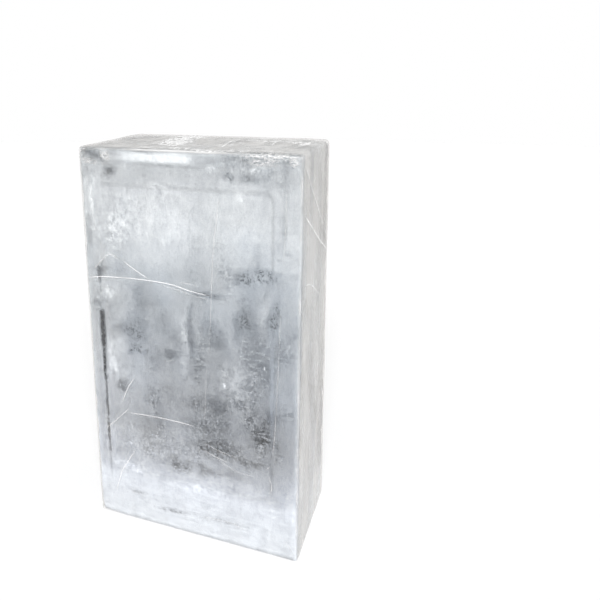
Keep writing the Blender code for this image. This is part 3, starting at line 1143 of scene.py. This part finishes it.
def film_material():
    """Clear film, hazier seen from the side with a painted sheen, and white along its creases and
    gathers, partly as milkier folded film and partly as painted highlights.
    """
    material = bpy.data.materials.new("clear_film")
    nodes = Nodes(material)
    shader = nodes.shader
    kinds = {name: nodes.noise(*settings) for name, settings in FILM_NOISES.items()}
    ridges = nodes.math("SUBTRACT", 1.0, nodes.math("ABSOLUTE", kinds["folds"]), clamp=True)
    ridges = nodes.math("POWER", ridges, FOLD_SHARPNESS)
    crinkle_and_painted_glint = nodes.math("MULTIPLY", ridges, nodes.value("crinkle_and_painted_glint"))
    crease_and_painted_highlight = nodes.plus(nodes.value("crease_and_painted_highlight"), CRINKLE_HAZE_AND_PAINTED_GLINT, crinkle_and_painted_glint, clamp=True)
    # Painted highlights with milkier folded film: white along creases, crinkles and edge lines.
    white = nodes.math("MAXIMUM", crease_and_painted_highlight, nodes.value("haze_and_painted_sheen"))
    # Painted sheen with milkiness: haze that grows with a grazing view.
    sideways = nodes.add("ShaderNodeLayerWeight").outputs["Facing"]
    sideways = nodes.math("POWER", sideways, FILM_SIDEWAYS_POWER)
    uneven = nodes.plus(FILM_SIDEWAYS_HAZE_AND_PAINTED_SHEEN, MOTTLE_IN_HAZE, kinds["mottle"])
    uneven = nodes.plus(uneven, STREAKS_IN_HAZE, kinds["streaks"])
    haze_and_painted_sheen = nodes.math("MULTIPLY_ADD", sideways, uneven, FILM_HAZE)
    alpha = nodes.math("MAXIMUM", haze_and_painted_sheen, white)
    alpha = nodes.math("MAXIMUM", alpha, ALPHA_LEAST, clamp=True)
    nodes.link(alpha, shader.inputs["Alpha"])
    nodes.link(nodes.blend(white, FILM_COLOUR_AND_PAINTED_REFLECTION, CREASE_AND_PAINTED_HIGHLIGHT_COLOUR), shader.inputs["Base Color"])
    shader.inputs["Roughness"].default_value = FILM_ROUGHNESS
    height = nodes.plus(kinds["streaks"], CRINKLE_BUMP, crinkle_and_painted_glint)
    nodes.link(nodes.bump(height, FILM_BUMP), shader.inputs["Normal"])
    return material


# ---------------------------------------------------------------- pieces


def make_ice():
    grid = (
        lines(-WIDTH / 2, WIDTH / 2, ICE_CELL_ACROSS),
        lines(-DEPTH / 2, DEPTH / 2, ICE_CELL_BACK),
        lines(0.0, HEIGHT, ICE_CELL_UP),
    )
    mesh, crossings = box_skin("clear_ice_block", grid, ice_point)
    add_values(mesh, "whiteness", [whiteness(crossing) for crossing in crossings])
    # The marks carry frost and painted shade, and the slit line painted shade.
    add_values(mesh, "marks_and_painted_shade", [marks_and_painted_shade_at(crossing) for crossing in crossings])
    add_values(mesh, "painted_slit_shade", [painted_slit_shade_at(crossing) for crossing in crossings])
    add_values(mesh, "brushed", [brushed(crossing) for crossing in crossings])
    mesh.materials.append(ice_material())
    ice = add_object("clear_ice_block", mesh)
    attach(ice, "root")
    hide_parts("ice_block")


def make_film():
    walls_up = evenly(FILM_HEM, HEIGHT - EDGE_RADIUS, FILM_CELL)
    grid = (
        lines(-WIDTH / 2, WIDTH / 2, FILM_CELL),
        lines(-DEPTH / 2, DEPTH / 2, FILM_CELL),
        walls_up + lines(0.0, HEIGHT, HEIGHT)[-EDGE_STEPS - 1:],
    )
    mesh = film_skin("creased_film", grid)
    mesh.materials.append(film_material())
    film = add_object("creased_film", mesh)
    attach(film, "root")
    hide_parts("film_wrap")


# ---------------------------------------------------------------- stage, light and camera

IMAGE_SIDE = 600.0
SENSOR = 36.0
FOCAL_PIXELS = 590.7
AXIS_COLUMN = 240.0
AXIS_ROW = 278.0
CAMERA_PLACE = (0.4924, -1.1959, 0.9933)
CAMERA_TURN = 19.33
CAMERA_DOWN = 16.88


def make_camera():
    data = bpy.data.cameras.new("camera")
    data.sensor_width = SENSOR
    data.lens = FOCAL_PIXELS * SENSOR / IMAGE_SIDE
    data.shift_x = (IMAGE_SIDE / 2 - AXIS_COLUMN) / IMAGE_SIDE
    data.shift_y = (AXIS_ROW - IMAGE_SIDE / 2) / IMAGE_SIDE
    camera = add_object("camera", data)
    camera.location = CAMERA_PLACE
    camera.rotation_euler = (math.radians(90.0 - CAMERA_DOWN), 0.0, math.radians(CAMERA_TURN))
    bpy.context.scene.camera = camera


FLOOR_RADIUS = 14.0
FLOOR_SIDES = 64
FLOOR_BELOW_FOOT = 0.0008
FLOOR_ROUGHNESS = 0.9
FLOOR_COLOUR = (0.97, 0.97, 0.97, 1.0)

STUDIO_COLOUR = (1.0, 1.0, 1.0, 1.0)
BACKDROP_LIGHT = 1.0
HORIZON_LIGHT = 1.0
ZENITH_LIGHT = 0.34
HORIZON_TOP = 0.16
ZENITH_FROM = 0.60
KEY_SIDE = 22.0
KEY_RISE = 32.0
KEY_SPREAD = 30.0
KEY_STRENGTH = 3.7
KEY_AWAY = 4.0


def make_stage():
    shape = bmesh.new()
    bmesh.ops.create_circle(shape, cap_ends=True, segments=FLOOR_SIDES, radius=FLOOR_RADIUS)
    mesh = bpy.data.meshes.new("studio_floor")
    shape.to_mesh(mesh)
    shape.free()
    floor = add_object("studio_floor", mesh)
    floor.location.z = -FLOOR_BELOW_FOOT
    material = bpy.data.materials.new("studio_floor")
    nodes = Nodes(material)
    nodes.shader.inputs["Base Color"].default_value = FLOOR_COLOUR
    nodes.shader.inputs["Roughness"].default_value = FLOOR_ROUGHNESS
    mesh.materials.append(material)


def make_world():
    """A studio with a lit backdrop all round the horizon and a dimmer ceiling."""
    world = bpy.data.worlds.new("studio")
    world.use_nodes = True
    tree = world.node_tree
    where = tree.nodes.new("ShaderNodeTexCoord")
    parts = tree.nodes.new("ShaderNodeSeparateXYZ")
    ramp = tree.nodes.new("ShaderNodeMapRange")
    ramp.interpolation_type = "SMOOTHSTEP"
    ramp.inputs["From Min"].default_value = HORIZON_TOP
    ramp.inputs["From Max"].default_value = ZENITH_FROM
    ramp.inputs["To Min"].default_value = HORIZON_LIGHT
    ramp.inputs["To Max"].default_value = ZENITH_LIGHT
    tree.links.new(where.outputs["Generated"], parts.inputs["Vector"])
    tree.links.new(parts.outputs["Z"], ramp.inputs["Value"])
    path = tree.nodes.new("ShaderNodeLightPath")
    seen = tree.nodes.new("ShaderNodeMix")
    tree.links.new(path.outputs["Is Camera Ray"], seen.inputs[0])
    tree.links.new(ramp.outputs["Result"], seen.inputs[2])
    seen.inputs[3].default_value = BACKDROP_LIGHT
    tree.links.new(seen.outputs[0], tree.nodes["Background"].inputs["Strength"])
    tree.nodes["Background"].inputs["Color"].default_value = STUDIO_COLOUR
    bpy.context.scene.world = world


def make_key_light():
    data = bpy.data.lights.new("key_light", "SUN")
    data.angle = math.radians(KEY_SPREAD)
    data.energy = KEY_STRENGTH
    key = add_object("key_light", data)
    side = math.radians(KEY_SIDE)
    rise = math.radians(KEY_RISE)
    away = Vector((math.sin(side) * math.cos(rise), -math.cos(side) * math.cos(rise), math.sin(rise)))
    key.location = away * KEY_AWAY
    key.rotation_euler = (-away).to_track_quat("-Z", "Y").to_euler()


make_ice()
make_film()
make_stage()
make_world()
make_key_light()
make_camera()
bpy.context.scene.view_settings.view_transform = "Standard"
bpy.context.scene.cycles.caustics_refractive = False
bpy.context.scene.cycles.caustics_reflective = False
